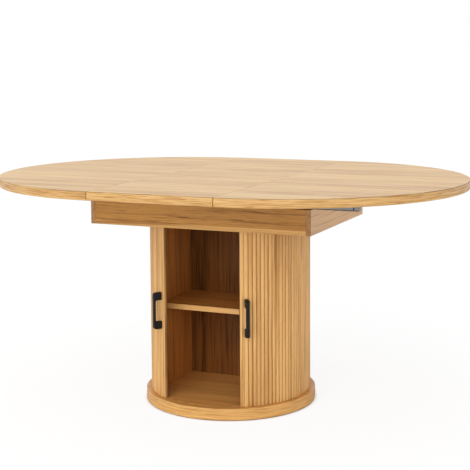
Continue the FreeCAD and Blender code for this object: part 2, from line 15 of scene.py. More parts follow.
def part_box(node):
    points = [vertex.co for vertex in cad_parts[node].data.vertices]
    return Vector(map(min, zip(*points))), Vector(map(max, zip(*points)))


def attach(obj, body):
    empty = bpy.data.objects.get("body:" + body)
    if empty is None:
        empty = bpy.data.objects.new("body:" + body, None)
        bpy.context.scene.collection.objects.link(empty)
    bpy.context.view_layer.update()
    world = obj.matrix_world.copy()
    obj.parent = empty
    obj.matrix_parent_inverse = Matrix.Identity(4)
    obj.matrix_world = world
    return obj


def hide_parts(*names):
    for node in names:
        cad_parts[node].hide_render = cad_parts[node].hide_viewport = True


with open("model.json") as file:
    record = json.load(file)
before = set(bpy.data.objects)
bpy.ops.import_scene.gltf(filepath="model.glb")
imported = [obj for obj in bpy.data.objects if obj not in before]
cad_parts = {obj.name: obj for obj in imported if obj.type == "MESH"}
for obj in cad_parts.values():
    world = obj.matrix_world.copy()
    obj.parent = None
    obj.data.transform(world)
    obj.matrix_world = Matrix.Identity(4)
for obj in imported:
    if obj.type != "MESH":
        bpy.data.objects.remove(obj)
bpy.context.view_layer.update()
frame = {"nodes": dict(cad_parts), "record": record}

# Which slot and body each piece of the frame belongs to
record = frame["record"]
slot_of = {part["node"]: part["material_slot"] for part in record["subparts"]}
body_of = {node: body for body, nodes in record["behaviour"]["bodies"].items() for node in nodes}

# Easing of edges: radii, the flat kept beside each round, and the steps of a round
RIM_ROUND = 0.0026
BOARD_ROUND = 0.0013
BOARD_CORNER = 0.0014
PLINTH_ROUND = 0.0022
EDGE_HOLD = 0.0004
ROUND_STEPS = 4
CORNER_STEPS = 3

# Faces round the rims, and how deep a board's front edge reaches, in roundings
BAND_FACES = 240
FRONT_REACH = 1.3

# Seams of the top: how much of the rim's easing they have, and their slots at the rim
SEAM_SHARE = 0.3
SEAM_CORNER = 0.0006
SEAM_CORNER_POINTS = 4
SEAM_SLOT = 0.0012
SEAM_SLOT_DEPTH = 0.004

# Steepest angles that still shade as one surface, on plain and on fluted pieces
SMOOTH_ANGLE = 35.0
FLUTE_SMOOTH_ANGLE = 50.0

# A reach past every piece
FAR = 10.0

# Steps in a metre for points that count as one, in the pieces and in the frame, and decimals for bars
POINT_STEPS = 1e7
SPOT_STEPS = 1e5
BAR_DECIMALS = 6

# Tongues and their slots in the leaf
TONGUE_WIDTH = 0.024
TONGUE_TIP = 0.004
TONGUE_CLEARANCE = 0.0005
TONGUE_END_GAP = 0.002
TONGUE_PLACE_SHARES = (-0.78, -0.3, 0.3, 0.78)

# Doors and the fixed shell behind them
SLAT_COUNT = 40
STILE_PITCHES = 2
SLAT_PITCH_ANGLE = 2.95
SLAT_SIDE = 0.0059
SLAT_GAP = 0.0006
DOOR_REST_ANGLE = 30.0
FLUTE_DEPTH = 0.0035
SHELL_LAP_ANGLE = 6.0
FLUTE_POINTS = 12
TRACK_CLEARANCE = 0.0005
TRACK_DEPTH = 0.008
TRACK_COVER = 0.004
BACKING_THICKNESS = 0.0035
BACKING_STEPS = 4
DOOR_INNER_GAP = 0.0025
SHELL_THICKNESS = 0.008
PANEL_THICKNESS = 0.016

# Handles
HANDLE_BAR = 0.007
HANDLE_FOOT = 0.026
HANDLE_CORNER = 0.009
HANDLE_CORNER_STEPS = 6
HANDLE_INNER_CORNER = 0.005
HANDLE_WIDTH = 0.012
HANDLE_EDGE = 0.0009
HANDLE_END = 0.0014

# Moving channels of the slides
SLIDE_SHEET = 0.0018
CHANNEL_LIP = 0.0043
CHANNEL_BEND = 0.0026
CHANNEL_EDGE = 0.0003
CHANNEL_SLOT_WIDTH = 0.004
CHANNEL_SLOT_PLACE = 0.0135
CHANNEL_SLOT_MARGIN = 0.0035

# Screws, as shares of the head's radius, but the cross's floor as a share of the cross
SHANK_SHARE = 0.5
POINT_SHARE = 0.1
HEAD_FLAT_SHARE = 0.95
HEAD_EDGE_SHARE = 0.06
CROSS_SHARE = 0.34
CROSS_SWING_SHARE = 0.2
CROSS_DEPTH_SHARE = 0.4
CROSS_FLOOR_SHARE = 0.5

# Screws, pins, rollers and glides: how far screws stand out, easing, and faces round
SCREW_RISE = 0.0002
BAR_ROUND = 0.0003
ROUND_FACES = 24

# Screw heads in the ends of the box, as shares of its depth and height
END_SCREW_SHARES = ((-0.4, 0.26), (0.44, 0.87))
END_SCREW_HEAD = 0.004
END_SCREW_LENGTH = 0.02

# Patterns in oak, in changes per metre along, across and through the grain
DRIFT = (1.3, 9.0, 9.0)
RING_WOBBLE = (2.4, 40.0, 40.0)
RING_STRENGTH = (1.6, 44.0, 44.0)
FIBRE = (7.0, 330.0, 330.0)
BANDS = (2.2, 52.0, 52.0)
BROAD = (1.0, 11.0, 11.0)
PORES = (45.0, 1300.0, 1300.0)
# The next rates break into patches the painted shade in the flutes' grooves and the rim's darker band
DARKENING_PATCHES = (5.0, 60.0, 0.0)

# Patterns in steel, in coatings and in cloth, in changes per metre along X, Y and Z or the grain
STEEL_LINES = (14.0, 2400.0, 2400.0)
STEEL_CLOUDS = (22.0, 60.0, 60.0)
SKIN_CLOUDS = (30.0, 30.0, 30.0)
CLOTH_FUZZ = (300.0, 300.0, 300.0)

# Shares in oak: a ring's dark edge and its relief, the fibre, a thread's soft edge, how strong pores
# are, and how much of the dark part's light is left in pores, in the painted shade of the flutes'
# grooves and in the rim's darker band
RING_EDGE = 0.25
RING_RELIEF = 0.25
FIBRE_SHARE = 0.7
THREAD_EDGE = 0.14
PORE_SHARE = 0.45
PORE_AND_SHADE_LIGHT = 0.45

# Planks: their width and the height of their face, how far each moves along the grain, and where
# its pith lies in plank widths
TOP_PLANK = (0.115, 0.77)
PLINTH_PLANK = (0.14, 0.04)
PLANK_MOVE = 9.0
PITH_SPREAD = 1.6
PITH_LEAST = 0.4
PITH_DEPTH = 0.5

# How a rim's grain runs: stretched along the rim, and how far its rings' middle lies below it
RIM_STRETCH = 0.4
RIM_RISE = 0.06

# Depths down to which the colour is darkened: painted shade in the grooves between the flutes, and
# a darker band on the rim under the top's face
GROOVE_SHADE_DEPTH = 0.002
RIM_BAND_DEPTH = 0.004

# Width of a thread of the doors' backing cloth
CLOTH_THREAD = 0.0009

# How far the grain of each piece is moved in X, Y and Z, or round, in and up on the doors
GRAIN_MOVES = {
    "top_half_left": (-3.1, 0.0, 0.0),
    "extension_leaf": (1.7, 0.0, 0.0),
    "box_back_board": (1.3, 0.0, 0.0),
    "slide_batten_front": (2.6, 0.0, 0.0),
    "slide_batten_back": (3.9, 0.0, 0.0),
    "box_side_left": (0.4, 0.7, 0.0),
    "box_side_right": (1.3, 0.7, 0.0),
    "box_bottom_board": (0.6, 0.2, 0.0),
    "side_panel_left": (0.3, 0.2, 0.9),
    "inner_back_panel": (0.1, 0.4, 0.3),
    "shelf": (0.5, 0.3, 0.0),
    "door_backing_left": (0.9, 0.0, 0.7),
    "door_slats_left": (0.9, 0.0, 0.7),
    "door_stile_left": (0.9, 0.0, 0.7),
}
TONGUE_GRAIN_MOVE = 0.37
SLAT_GRAIN_MOVE = 2.0
SLAT_DRAW = 7

# The photograph's camera: turns in radians, its place, its lens in millimetres and its shift in pixels
CAMERA_YAW = 0.4098
CAMERA_PITCH = 0.1006
CAMERA_ROLL = 0.0064
CAMERA_PLACE = (1.59078, -3.61643, 1.18374)
CAMERA_LENS = 89.325
CAMERA_SHIFT = -65
PHOTO_WIDTH = 470

# The studio: its light, and the floor's reach, shade, glow and darkening where it is touched
WHITE = (1.0, 1.0, 1.0, 1.0)
ROOM_LIGHT = 0.55
FLOOR_REACH = 40.0
FLOOR_SHADE = (0.95, 0.95, 0.95, 1.0)
FLOOR_GLOW = 0.85
GLOW_STRENGTH = 1.03
CONTACT_REACH = 0.03
CONTACT_SAMPLES = 16

# Half a turn round the upright axis
HALF_TURN = np.diag([-1.0, -1.0, 1.0])

DOOR_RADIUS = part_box("door_slats_right")[1].x


def colour(red, green, blue):
    """A colour for the shader from 0 to 255 screen values."""
    screen = np.array([red, green, blue]) / 255
    light = np.where(screen <= 0.04045, screen / 12.92, ((screen + 0.055) / 1.055) ** 2.4)
    return (*light, 1.0)


def scaled(shade, share):
    """A shade with more or less light in it."""
    return tuple(share * part for part in shade[:3]) + (1.0,)


def fill(tree, node, inputs):
    """Fill or link the inputs of a shader node."""
    for key, value in dict(inputs).items():
        if isinstance(value, bpy.types.NodeSocket):
            tree.links.new(value, node.inputs[key])
        else:
            node.inputs[key].default_value = value


def put(tree, kind, inputs=(), **settings):
    """Add a shader node, set its options and fill or link its inputs."""
    made = tree.nodes.new("ShaderNode" + kind)
    for name, value in settings.items():
        setattr(made, name, value)
    fill(tree, made, inputs)
    return made


def maths(tree, operation, first, second=0.0):
    """The result of one sum on two numbers or sockets."""
    return put(tree, "Math", {0: first, 1: second}, operation=operation).outputs[0]


def vector_maths(tree, operation, first, second):
    """The result of one sum on two vectors or sockets."""
    return put(tree, "VectorMath", {0: first, 1: second}, operation=operation).outputs[0]


def noise(tree, place, rates, detail=2.0, roughness=0.5, output=0):
    """Soft noise read at the place, with its changes per metre in each of the place's parts."""
    place = vector_maths(tree, "MULTIPLY", place, rates)
    inputs = {"Vector": place, "Scale": 1.0, "Detail": detail, "Roughness": roughness}
    return put(tree, "TexNoise", inputs).outputs[output]


def ranged(tree, value, low, high, out_low=0.0, out_high=1.0):
    """The value brought from one range to another, held at its ends."""
    inputs = {"Value": value, "From Min": low, "From Max": high, "To Min": out_low, "To Max": out_high}
    return put(tree, "MapRange", inputs, interpolation_type="SMOOTHSTEP").outputs[0]


def mixed(tree, share, first, second):
    """Two colours mixed by a share. 0, 6 and 7 are the node's places for the share and the colours."""
    return put(tree, "Mix", {0: share, 6: first, 7: second}, data_type="RGBA").outputs[2]


def relief(tree, height, strength, distance):
    """A surface's directions with a pattern's height pressed into it."""
    return put(tree, "Bump", {"Strength": strength, "Distance": distance, "Height": height}).outputs[0]


def new_material(name):
    """A material with one surface shader, its node tree and that shader."""
    made = bpy.data.materials.new(name)
    made.use_nodes = True
    tree = made.node_tree
    return made, tree, tree.nodes["Principled BSDF"]


def grain_vector(tree):
    """The place along, across and through the grain, in metres, that each piece carries."""
    return put(tree, "Attribute", attribute_name="grain").outputs["Vector"]


def object_place(tree):
    """The place in the frame, in metres."""
    return put(tree, "TexCoord").outputs["Object"]


def planks(tree, grain, width, level):
    """The grain split into planks across, each with its own place along the grain and its own pith.

    The place across is measured from each plank's middle, and the place through from the face.
    """
    parts = put(tree, "SeparateXYZ", {0: grain})
    along, across, through = (parts.outputs[index] for index in range(3))
    count = maths(tree, "FLOOR", maths(tree, "DIVIDE", across, width))
    middle = maths(tree, "MULTIPLY", maths(tree, "ADD", count, 0.5), width)
    draw = put(tree, "TexWhiteNoise", {"W": count}, noise_dimensions="1D").outputs["Color"]
    draws = put(tree, "SeparateXYZ", {0: draw})
    along = maths(tree, "ADD", along, maths(tree, "MULTIPLY", draws.outputs[0], PLANK_MOVE))
    off = maths(tree, "MULTIPLY", maths(tree, "SUBTRACT", draws.outputs[1], 0.5), PITH_SPREAD * width)
    across = maths(tree, "ADD", maths(tree, "SUBTRACT", across, middle), off)
    sunk = maths(tree, "MULTIPLY", maths(tree, "ADD", draws.outputs[2], PITH_LEAST), PITH_DEPTH * width)
    through = maths(tree, "ADD", maths(tree, "SUBTRACT", through, level), sunk)
    return put(tree, "CombineXYZ", {0: along, 1: across, 2: through}).outputs[0]


def wavy(tree, place, wave):
    """The place moved across and through the grain by slow noise."""
    drift = noise(tree, place, DRIFT, output="Color")
    drift = vector_maths(tree, "SUBTRACT", drift, (0.5, 0.5, 0.5))
    drift = vector_maths(tree, "MULTIPLY", drift, (0.0, wave, wave))
    return vector_maths(tree, "ADD", drift, place)


def ring_lines(tree, place, bent, pith, ring):
    """Dark lines that come and go where rings start, round a pith that runs along the grain."""
    away = vector_maths(tree, "SUBTRACT", bent, (0.0, *pith))
    away = vector_maths(tree, "MULTIPLY", away, (0.0, 1.0, 1.0))
    far = put(tree, "VectorMath", {0: away}, operation="LENGTH").outputs[1]
    turns = maths(tree, "ADD", maths(tree, "DIVIDE", far, ring), noise(tree, place, RING_WOBBLE, 3.0))
    phase = maths(tree, "FRACT", turns)
    after = ranged(tree, phase, 0.0, RING_EDGE, 1.0, 0.0)
    before = ranged(tree, phase, 1.0 - RING_EDGE, 1.0)
    strength = ranged(tree, noise(tree, place, RING_STRENGTH), 0.4, 0.62, 0.1, 1.0)
    return maths(tree, "MULTIPLY", maths(tree, "MAXIMUM", after, before), strength)


def darkened_to_depth(tree, grain, groove, base, deep):
    """The base darkened in patches to a depth: painted shade in flute grooves, a darker band atop a rim."""
    depth = put(tree, "SeparateXYZ", {0: grain}).outputs[2]
    # Painted shade at the flutes' valleys and the rim's darker band at its top, both gone by the given
    # depth
    hollow = ranged(tree, depth, 0.0, groove, 1.0, 0.0)
    left = ranged(tree, noise(tree, grain, DARKENING_PATCHES), 0.3, 0.65, 0.35, 0.9)
    return mixed(tree, maths(tree, "MULTIPLY", hollow, left), base, deep)


def oak(
    name, light, dark, ring=0.006, plank=None, pith=(0.03, -0.09), wave=0.024, figure=0.3, streaks=0.8,
    tone=0.8, threads=0.5, thread=(1.6, 130.0), thinness=0.56, pores=PORE_SHARE, groove=None
):
    """Lacquered oak.

    Rings lie round a pith that runs along the grain below the face, so a face cuts them into long
    lines and pointed arches. Streaks and tone are soft bands along the grain, threads are thin dark
    lines that come and go, and fine dashes are the pores, thickest where each ring starts. A groove
    is the depth down to which the colour is darkened in patches: painted shade in the hollows of a
    fluted face, and a darker band along a rim's top.
    A plank is the width of the planks across and the height of their face. Figure is how dark the
    rings are, wave is how far they wander, thread is how fast the threads change along and across,
    and thinness is how few of them there are.
    """
    made, tree, shader = new_material(name)
    grain = grain_vector(tree)
    place = planks(tree, grain, *plank) if plank else grain
    bent = wavy(tree, place, wave)
    lines = ring_lines(tree, place, bent, pith, ring)
    fibre = noise(tree, bent, FIBRE, 4.0, 0.7)
    bands = noise(tree, bent, BANDS, 3.0, 0.6)
    broad = noise(tree, place, BROAD)
    thin = noise(tree, bent, (thread[0], thread[1], thread[1]), 2.0, 0.45)
    thin = ranged(tree, thin, thinness, thinness + THREAD_EDGE)
    depth = maths(tree, "MULTIPLY", lines, figure)
    depth = maths(tree, "ADD", depth, maths(tree, "MULTIPLY", thin, threads))
    for soft, share in ((fibre, FIBRE_SHARE), (bands, streaks), (broad, tone)):
        swing = maths(tree, "MULTIPLY", maths(tree, "SUBTRACT", soft, 0.5), share)
        depth = maths(tree, "ADD", depth, swing)
    base = mixed(tree, ranged(tree, depth, -0.35, 0.8), light, dark)
    dashes = ranged(tree, noise(tree, grain, PORES, 1.0), 0.55, 0.68)
    dashes = maths(tree, "MULTIPLY", dashes, ranged(tree, lines, 0.0, 1.0, 0.35, 1.0))
    deep = scaled(dark, PORE_AND_SHADE_LIGHT)
    base = mixed(tree, maths(tree, "MULTIPLY", dashes, pores), base, deep)
    # Painted shade in the grooves of fluted faces, and the darker band along a rim's top
    if groove:
        base = darkened_to_depth(tree, grain, groove, base, deep)
    hollows = maths(tree, "ADD", dashes, maths(tree, "MULTIPLY", lines, RING_RELIEF))
    fill(tree, shader, {
        "Base Color": base,
        "Specular IOR Level": 0.35,
        "Roughness": ranged(tree, fibre, 0.3, 0.7, 0.31, 0.43),
        "Normal": relief(tree, maths(tree, "MULTIPLY", hollows, -1.0), 0.35, 0.00025),
    })
    return made


def brushed_steel(name, shade, rough):
    """Zinc plated steel with fine drawing lines along X and faint clouding."""
    made, tree, shader = new_material(name)
    place = object_place(tree)
    lines = noise(tree, place, STEEL_LINES)
    clouds = noise(tree, place, STEEL_CLOUDS, 3.0)
    fill(tree, shader, {
        "Base Color": mixed(tree, ranged(tree, clouds, 0.35, 0.65), shade, scaled(shade, 0.8)),
        "Metallic": 0.92,
        "Roughness": ranged(tree, lines, 0.3, 0.7, rough - 0.07, rough + 0.1),
        "Normal": relief(tree, lines, 0.25, 0.00006),
    })
    return made


def pebbled(name, shade, pebble, height):
    """Powder coating or moulded plastic with a fine pebbled skin."""
    made, tree, shader = new_material(name)
    place = object_place(tree)
    pebbles = noise(tree, place, (1 / pebble,) * 3)
    clouds = noise(tree, place, SKIN_CLOUDS)
    fill(tree, shader, {
        "Base Color": mixed(tree, ranged(tree, clouds, 0.3, 0.7), shade, scaled(shade, 1.7)),
        "Specular IOR Level": 0.3,
        "Roughness": ranged(tree, pebbles, 0.3, 0.7, 0.44, 0.58),
        "Normal": relief(tree, pebbles, 0.5, height),
    })
    return made


def woven_cloth(name, light, dark):
    """Plain woven backing cloth: threads up and threads across pass over each other in turn."""
    made, tree, shader = new_material(name)
    grain = grain_vector(tree)
    turns = vector_maths(tree, "MULTIPLY", grain, (math.pi / CLOTH_THREAD,) * 3)
    parts = put(tree, "SeparateXYZ", {0: turns})
    up, across = (maths(tree, "SINE", parts.outputs[index]) for index in (0, 1))
    weave = ranged(tree, maths(tree, "MULTIPLY", up, across), -1.0, 1.0)
    fuzz = noise(tree, grain, CLOTH_FUZZ, 3.0)
    fill(tree, shader, {
        "Base Color": mixed(tree, maths(tree, "MULTIPLY", weave, fuzz), dark, light),
        "Roughness": 0.9,
        "Normal": relief(tree, weave, 0.6, 0.0003),
    })
    return made


def make_oaks():
    """The oaks of the table: their light and dark parts, and how their grain differs."""
    straight = {"pith": (0.68, 0.21)}
    rim = {"pith": (RIM_RISE, -0.05), "wave": 0.016, "figure": 0.15, "threads": 0.55}
    rim |= {"thread": (30.0, 420.0), "thinness": 0.49}
    inner = {"ring": 0.005, "streaks": 1.0, "thread": (2.5, 230.0), "thinness": 0.52}
    top = {"plank": TOP_PLANK, "tone": 1.2, "streaks": 1.2, "threads": 0.38}
    top |= {"thread": (2.5, 110.0), "thinness": 0.52}
    # Fluted oak darkens towards the valleys of its grooves: painted shade
    flutes = {"ring": 0.007, "tone": 1.8, "groove": GROOVE_SHADE_DEPTH}
    oaks = {
        "oak_top": ((231, 193, 131), (190, 140, 80), top),
        # The rim's oak is darker in a band along its top edge, under the top's face
        "oak_rim": ((238, 196, 130), (172, 118, 58), {**rim, "groove": RIM_BAND_DEPTH}),
        "oak_tongue": ((206, 176, 132), (180, 142, 96), {"pores": 0.3}),
        "oak_box": ((206, 152, 76), (126, 78, 28), {**straight, "threads": 0.4, "thread": (12.0, 360.0)}),
        # A lighter copy of the box's oak for the bottom board's front edge: painted light below the top's
        # shade
        "oak_strip": ((220, 172, 104), (166, 112, 54), {}),
        # Lighter, paler oak for the box's ends: painted sheen and light from the right
        "oak_end": ((236, 194, 140), (192, 142, 90), straight),
        "oak_end_edge": ((190, 144, 92), (132, 92, 54), {}),
        # Near black oak for the slide battens: painted shade in the gap under the slides
        "oak_dark": ((60, 38, 22), (34, 20, 10), {}),
        # A lighter copy of the inner oak: painted light falling on the uprights through the doors
        "oak_panel": ((226, 152, 74), (132, 78, 30), inner),
        # The inner oak made darker than the outside: painted shade deep inside the cabinet
        "oak_inside": ((142, 88, 38), (66, 36, 12), inner),
        "oak_shelf": ((216, 152, 78), (150, 92, 38), {}),
        # A lighter oak for the shelf's front edge: painted light from the front
        "oak_shelf_edge": ((240, 188, 118), (186, 130, 66), {}),
        "oak_plinth": ((230, 170, 96), (172, 116, 56), {"plank": PLINTH_PLANK}),
        "oak_plinth_rim": ((246, 196, 122), (188, 134, 70), rim),
        "oak_flutes": ((236, 188, 120), (170, 116, 54), flutes),
    }
    return {
        name: oak(name, colour(*light), colour(*dark), **differences)
        for name, (light, dark, differences) in oaks.items()
    }


def make_materials():
    """One material for each slot of the record, and the finishes that some pieces have in its place."""
    made = make_oaks()
    made["door_cloth"] = woven_cloth("door_cloth", colour(150, 98, 52), colour(92, 56, 28))
    for name, shade, rough in (
        ("slide_steel", (150, 151, 150), 0.38),
        ("screw_steel", (196, 192, 180), 0.28),
    ):
        made[name] = brushed_steel(name, colour(*shade), rough)
    for name, shade, pebble, height in (
        ("black_metal", (12, 11, 11), 0.0005, 0.00005),
        ("black_plastic", (24, 24, 24), 0.0008, 0.00008),
        ("grey_plastic", (128, 128, 124), 0.0008, 0.00008),
    ):
        made[name] = pebbled(name, colour(*shade), pebble, height)
    return made


def grid_faces(rows, columns):
    """Corner numbers of the faces between neighbouring points of a grid."""
    low = (np.arange(rows - 1)[:, None] * columns + np.arange(columns - 1)).ravel()
    return np.stack([low, low + 1, low + columns + 1, low + columns], axis=-1)


def grid_patch(points, grain=None, finish=0):
    """A patch of faces over a grid of points, with its own places in the grain and its finish."""
    grain = points if grain is None else grain
    return points.reshape(-1, 3), grain.reshape(-1, 3), [grid_faces(*points.shape[:2])], finish


def flat_patch(points, turned_over=False):
    """One flat face inside a closed loop of points."""
    corners = np.arange(len(points))[None]
    return points, points, [corners[:, ::-1] if turned_over else corners], 0


def rows_of(plan, heights):
    """A grid of points from closed plan outlines, one for each height, each closed on itself."""
    plan = np.concatenate([plan, plan[:, :1]], axis=1)
    level = np.broadcast_to(np.asarray(heights)[:, None, None], (*plan.shape[:2], 1))
    return np.concatenate([plan, level], axis=2)


def lengths_along(line):
    """The length from a line's first point to each of its points."""
    steps = np.linalg.norm(np.diff(line, axis=0), axis=1)
    return np.concatenate([[0.0], np.cumsum(steps)])


def slab(plan, heights, band=None, depth=0.0):
    """Patches of a closed piece whose outline changes with height, with a flat face at each end.

    band gives the first and last row of a rim whose grain follows the outline: along it by the
    length round the piece, and across and through it by height. It has the piece's second finish.
    depth is added to the place through the grain, for the whole rim or for each point of its outline.
    """
    points = rows_of(np.asarray(plan), heights)
    ends = [flat_patch(points[0, :-1], True), flat_patch(points[-1, :-1])]
    if band is None:
        return ends + [grid_patch(points)]
    first, last = band
    side = points[first:last + 1]
    along = lengths_along(side[len(side) // 2, :, :2]) * RIM_STRETCH
    along = np.broadcast_to(along, side.shape[:2])
    rise = side[..., 2] - side[..., 2].max()
    depth = np.broadcast_to(depth, side.shape[1] - 1)
    around = grid_patch(side, np.stack([along, rise, np.append(depth, depth[0]) - rise], axis=-1), 1)
    return ends + [grid_patch(points[:first + 1]), around, grid_patch(points[last:])]


def round_profile(low, high, radius):
    """Insets and heights of a side whose two edges are quarter rounds, with a narrow flat beside each.

    inset = radius (1 - sin turn) and height = radius (1 - cos turn), for a turn from 0 to 90 degrees.
    """
    turn = np.linspace(0, math.pi / 2, ROUND_STEPS + 1)
    inset = radius * (1 - np.sin(turn))
    rise = radius * (1 - np.cos(turn))
    insets = np.concatenate([[radius + EDGE_HOLD], inset, [0.0]])
    rises = np.concatenate([[0.0], rise, [radius + EDGE_HOLD]])
    heights = np.concatenate([low + rises, (high - rises)[::-1]])
    return np.concatenate([insets, insets[::-1]]), heights


def eased_plan(outline, insets):
    """One outline for each inset, each point moved in along its own direction."""
    places, directions = outline
    return places[None] - np.asarray(insets)[:, None, None] * directions[None]


def eased_slab(outline, low, high, radius):
    """Patches of a closed piece with one outline, and a quarter round along both its edges."""
    insets, heights = round_profile(low, high, radius)
    return slab(eased_plan(outline, insets), heights)


def rounded_outline(corners, radius, steps=CORNER_STEPS):
    """A closed outline with rounded corners, and the way out at each of its points.

    Each corner is an arc from one side's outward direction to the next one's. A hollow corner has
    its arc on the other side. A point beside each end of the arc keeps the straight sides flat.
    """
    corners = np.asarray(corners, float)
    ways = np.roll(corners, -1, axis=0) - corners
    ways /= np.linalg.norm(ways, axis=1)[:, None]
    after = np.stack([ways[:, 1], -ways[:, 0]], axis=1)
    before = np.roll(after, 1, axis=0)
    back = np.roll(ways, 1, axis=0)
    radius = np.broadcast_to(radius, len(corners))[:, None]
    hollow = before[:, 0] * after[:, 1] - before[:, 1] * after[:, 0] < 0
    side = np.where(hollow, -1.0, 1.0)[:, None]
    reach = radius / (1 + np.sum(before * after, axis=1))[:, None]
    centres = corners - side * reach * (before + after)
    start = np.arctan2(before[:, 1], before[:, 0])
    sweep = np.arctan2(after[:, 1], after[:, 0]) - start
    sweep = (sweep + math.pi) % (2 * math.pi) - math.pi
    turns = start[:, None] + sweep[:, None] * np.linspace(0, 1, steps + 1)
    out = ways_at(turns)
    arcs = centres[:, None] + (side * radius)[:, None] * out
    lead = arcs[:, :1] - EDGE_HOLD * back[:, None]
    tail = arcs[:, -1:] + EDGE_HOLD * ways[:, None]
    places = np.concatenate([lead, arcs, tail], axis=1).reshape(-1, 2)
    directions = np.concatenate([out[:, :1], out, out[:, -1:]], axis=1).reshape(-1, 2)
    return places, directions


def ways_at(turn):
    """Directions in plan at angles from +X, in radians."""
    return np.stack([np.cos(turn), np.sin(turn)], axis=-1)


def circle_outline(radius, sides):
    """A round outline from the back, and its outward directions."""
    turn = math.pi / 2 + np.linspace(0, 2 * math.pi, sides, endpoint=False)
    directions = ways_at(turn)
    return radius * directions, directions


def placed(patches, axes, origin=(0.0, 0.0, 0.0)):
    """The patches drawn in three local directions, moved to their place."""
    axes = np.asarray(axes, float)
    return [(points @ axes + np.asarray(origin), *rest) for points, *rest in patches]


def mirrored(patches):
    """The patches on the other side of the table's middle."""
    flip = np.array([-1.0, 1.0, 1.0])
    return [
        (points * flip, grain, [face[:, ::-1] for face in faces], finish)
        for points, grain, faces, finish in patches
    ]


def shifted(patches, shift):
    """The patches with their grain moved, so that no two pieces look alike."""
    return [(points, grain + shift, *rest) for points, grain, *rest in patches]


def joined(patches):
    """One mesh of patches that meet at shared points: points, corners, grain, face sizes and finishes."""
    starts = np.cumsum([0] + [len(patch[0]) for patch in patches])
    points = np.concatenate([patch[0] for patch in patches])
    grain = np.concatenate([patch[1] for patch in patches])
    keys = np.round(points * POINT_STEPS).astype(np.int64)
    _, first, shared = np.unique(keys, axis=0, return_index=True, return_inverse=True)
    shared = shared.reshape(-1)
    corners, sizes, finishes = [], [], []
    for start, (_, _, groups, finish) in zip(starts, patches):
        for faces in groups:
            faces = faces + start
            kept = shared[faces] != shared[np.roll(faces, -1, axis=1)]
            left = kept.sum(axis=1)
            corners.append(faces[kept & (left > 2)[:, None]])
            sizes.append(left[left > 2])
            finishes.append(np.full(len(sizes[-1]), finish))
    corners = np.concatenate(corners)
    return points[first], shared[corners], grain[corners], np.concatenate(sizes), np.concatenate(finishes)


def add_piece(name, patches, finishes, nodes, sharp=SMOOTH_ANGLE, along="X"):
    """Make a piece of the object from patches, on the body of the nodes that it stands for.

    sharp is the steepest angle that still shades as one surface, and along is the way the grain runs.
    """
    points, corners, grain, sizes, kinds = joined(patches)
    order = {"X": (0, 1, 2), "Y": (1, 0, 2), "Z": (2, 0, 1)}[along]
    mesh = bpy.data.meshes.new(name)
    mesh.vertices.add(len(points))
    mesh.vertices.foreach_set("co", points.astype(np.float32).ravel())
    mesh.loops.add(len(corners))
    mesh.loops.foreach_set("vertex_index", corners.astype(np.int32))
    mesh.polygons.add(len(sizes))
    mesh.polygons.foreach_set("loop_start", (np.cumsum(sizes) - sizes).astype(np.int32))
    mesh.polygons.foreach_set("loop_total", sizes.astype(np.int32))
    mesh.update(calc_edges=True)
    mesh.polygons.foreach_set("use_smooth", np.ones(len(sizes), bool))
    mesh.polygons.foreach_set("material_index", kinds.astype(np.int32))
    mesh.set_sharp_from_angle(angle=math.radians(sharp))
    mesh.attributes.new("grain", "FLOAT_VECTOR", "CORNER")
    mesh.attributes["grain"].data.foreach_set("vector", grain[:, order].astype(np.float32).ravel())
    for finish in finishes:
        mesh.materials.append(finish)
    piece = bpy.data.objects.new(name, mesh)
    bpy.context.scene.collection.objects.link(piece)
    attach(piece, body_of[nodes[0]])
    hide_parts(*nodes)


def dress(node, patches, materials, finishes=(), **options):
    """A finished piece that stands for one node, in that node's material or in finishes of its own."""
    chosen = [materials[name] for name in finishes or (slot_of[node],)]
    patches = shifted(patches, GRAIN_MOVES.get(node, 0.0))
    add_piece(f"{node}_finish", patches, chosen, [node], **options)


def dress_pair(name, patches, materials, finishes=(), **options):
    """A finished piece on the right, and its mirror image on the left."""
    dress(f"{name}_right", patches, materials, finishes, **options)
    dress(f"{name}_left", mirrored(patches), materials, finishes, **options)


def refinished(patches, finish, low, high):
    """The patches with the faces that lie inside a box in another finish."""
    parts = []
    for points, grain, groups, kind in patches:
        for faces in groups:
            corners = points[faces]
            inside = ((corners > low) & (corners < high)).all(axis=(1, 2))
            parts += [(points, grain, [faces[inside]], finish), (points, grain, [faces[~inside]], kind)]
    return parts


def fronted(patches, node):
    """The patches with the front edge of the node's board in the second finish."""
    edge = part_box(node)[0].y + FRONT_REACH * BOARD_ROUND
    return refinished(patches, 1, (-FAR,) * 3, (FAR, edge, FAR))


def flat_wood(corners, low, high):
    """A flat wooden piece with eased edges, from its corners in plan."""
    return eased_slab(rounded_outline(corners, BOARD_CORNER), low.z, high.z, BOARD_ROUND)


def board(node):
    """A board that fills its node's box."""
    low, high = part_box(node)
    return flat_wood([(low.x, low.y), (high.x, low.y), (high.x, high.y), (low.x, high.y)], low, high)


def clear_of_rim_band(outline, seam):
    """A depth for each point of an outline that keeps the darker band under the top's face off its seams.
    """
    return RIM_BAND_DEPTH * (abs(abs(outline[:, 0]) - seam) < SEAM_SLOT / 2)


